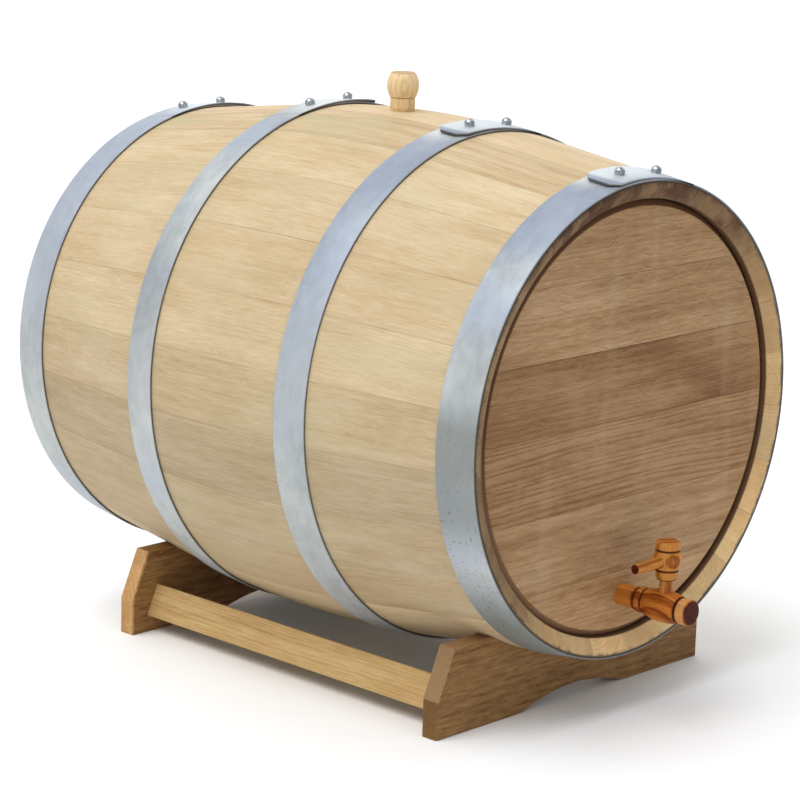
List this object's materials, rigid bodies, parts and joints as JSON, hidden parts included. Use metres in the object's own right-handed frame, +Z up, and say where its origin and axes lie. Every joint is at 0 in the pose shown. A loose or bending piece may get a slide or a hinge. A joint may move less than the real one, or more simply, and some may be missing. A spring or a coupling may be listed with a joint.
{
  "type": "oak wine barrel",
  "caption": "Oak wine cask lying on an arched cradle stand, with galvanised hoops, a turned bung in the top stave and a wooden tap with a turning key low in the front head.",
  "frame": {"origin": "on the floor, under the centre of the whole object's box; the barrel's mid-plane is 31 mm behind it because the tap stands out at the front", "axes": "+Z up; the barrel's axis is parallel to Y, with the tap head towards -Y; X is across the barrel, which is symmetric about X = 0 apart from the tap's side peg and the widths of the staves"},
  "size_m": [0.426, 0.582, 0.4814],
  "materials": {
    "stave_oak": "planed oak, unvarnished, matt",
    "head_oak": "planed oak, slightly darker, matt",
    "dowel_wood": "plain beech, matt",
    "galvanised_steel": "galvanised, dull spangle",
    "rivet": "bright zinc",
    "bung_wood": "turned, sanded, matt",
    "tap_wood": "turned, oiled, satin",
    "stand_oak": "sawn and planed oak, stained brown, matt",
    "rail_oak": "planed oak, matt"
  },
  "bodies": {
    "stand": {"front_bolster": "stand_oak", "rear_bolster": "stand_oak", "left_rail": "rail_oak", "right_rail": "rail_oak"},
    "barrel": {"bung_stave": "stave_oak", "front_head_board_1": "head_oak", "front_head_board_2": "head_oak", "front_head_board_3": "head_oak", "front_head_board_4": "head_oak", "front_head_board_5": "head_oak", "front_head_board_6": "head_oak", "front_head_dowels": "dowel_wood", "front_head_hoop": "galvanised_steel", "front_head_hoop_rivets": "rivet", "front_quarter_hoop": "galvanised_steel", "front_quarter_hoop_rivets": "rivet", "rear_head_board_1": "head_oak", "rear_head_board_2": "head_oak", "rear_head_board_3": "head_oak", "rear_head_board_4": "head_oak", "rear_head_board_5": "head_oak", "rear_head_board_6": "head_oak", "rear_head_dowels": "dowel_wood", "rear_head_hoop": "galvanised_steel", "rear_head_hoop_rivets": "rivet", "rear_quarter_hoop": "galvanised_steel", "rear_quarter_hoop_rivets": "rivet", "stave_01": "stave_oak", "stave_02": "stave_oak", "stave_03": "stave_oak", "stave_04": "stave_oak", "stave_05": "stave_oak", "stave_06": "stave_oak", "stave_07": "stave_oak", "stave_08": "stave_oak", "stave_09": "stave_oak", "stave_10": "stave_oak", "stave_11": "stave_oak", "stave_12": "stave_oak", "stave_13": "stave_oak", "stave_14": "stave_oak", "stave_15": "stave_oak", "stave_16": "stave_oak", "stave_17": "stave_oak", "stave_18": "stave_oak", "stave_19": "stave_oak", "stave_20": "stave_oak", "stave_21": "stave_oak", "stave_22": "stave_oak", "stave_23": "stave_oak", "stave_24": "stave_oak"},
    "bung": {"bung": "bung_wood"},
    "tap": {"tap_body": "tap_wood"},
    "tap_key": {"tap_key": "tap_wood", "tap_key_peg": "tap_wood"}
  },
  "joints": [
    {"name": "barrel_lift", "type": "slide", "parent": "stand", "child": "barrel", "axis": [0, 0, 1], "range_m": [0, 0.12]},
    {"name": "bung_pull", "type": "slide", "parent": "barrel", "child": "bung", "axis": [0, 0, 1], "range_m": [0, 0.07]},
    {"name": "tap_draw", "type": "slide", "parent": "barrel", "child": "tap", "axis": [0, -1, 0], "range_m": [0, 0.06]},
    {"name": "key_turn", "type": "hinge", "parent": "tap", "child": "tap_key", "pos_m": [0, -0.265, 0.0965], "axis": [0, 0, 1], "continuous": true}
  ]
}
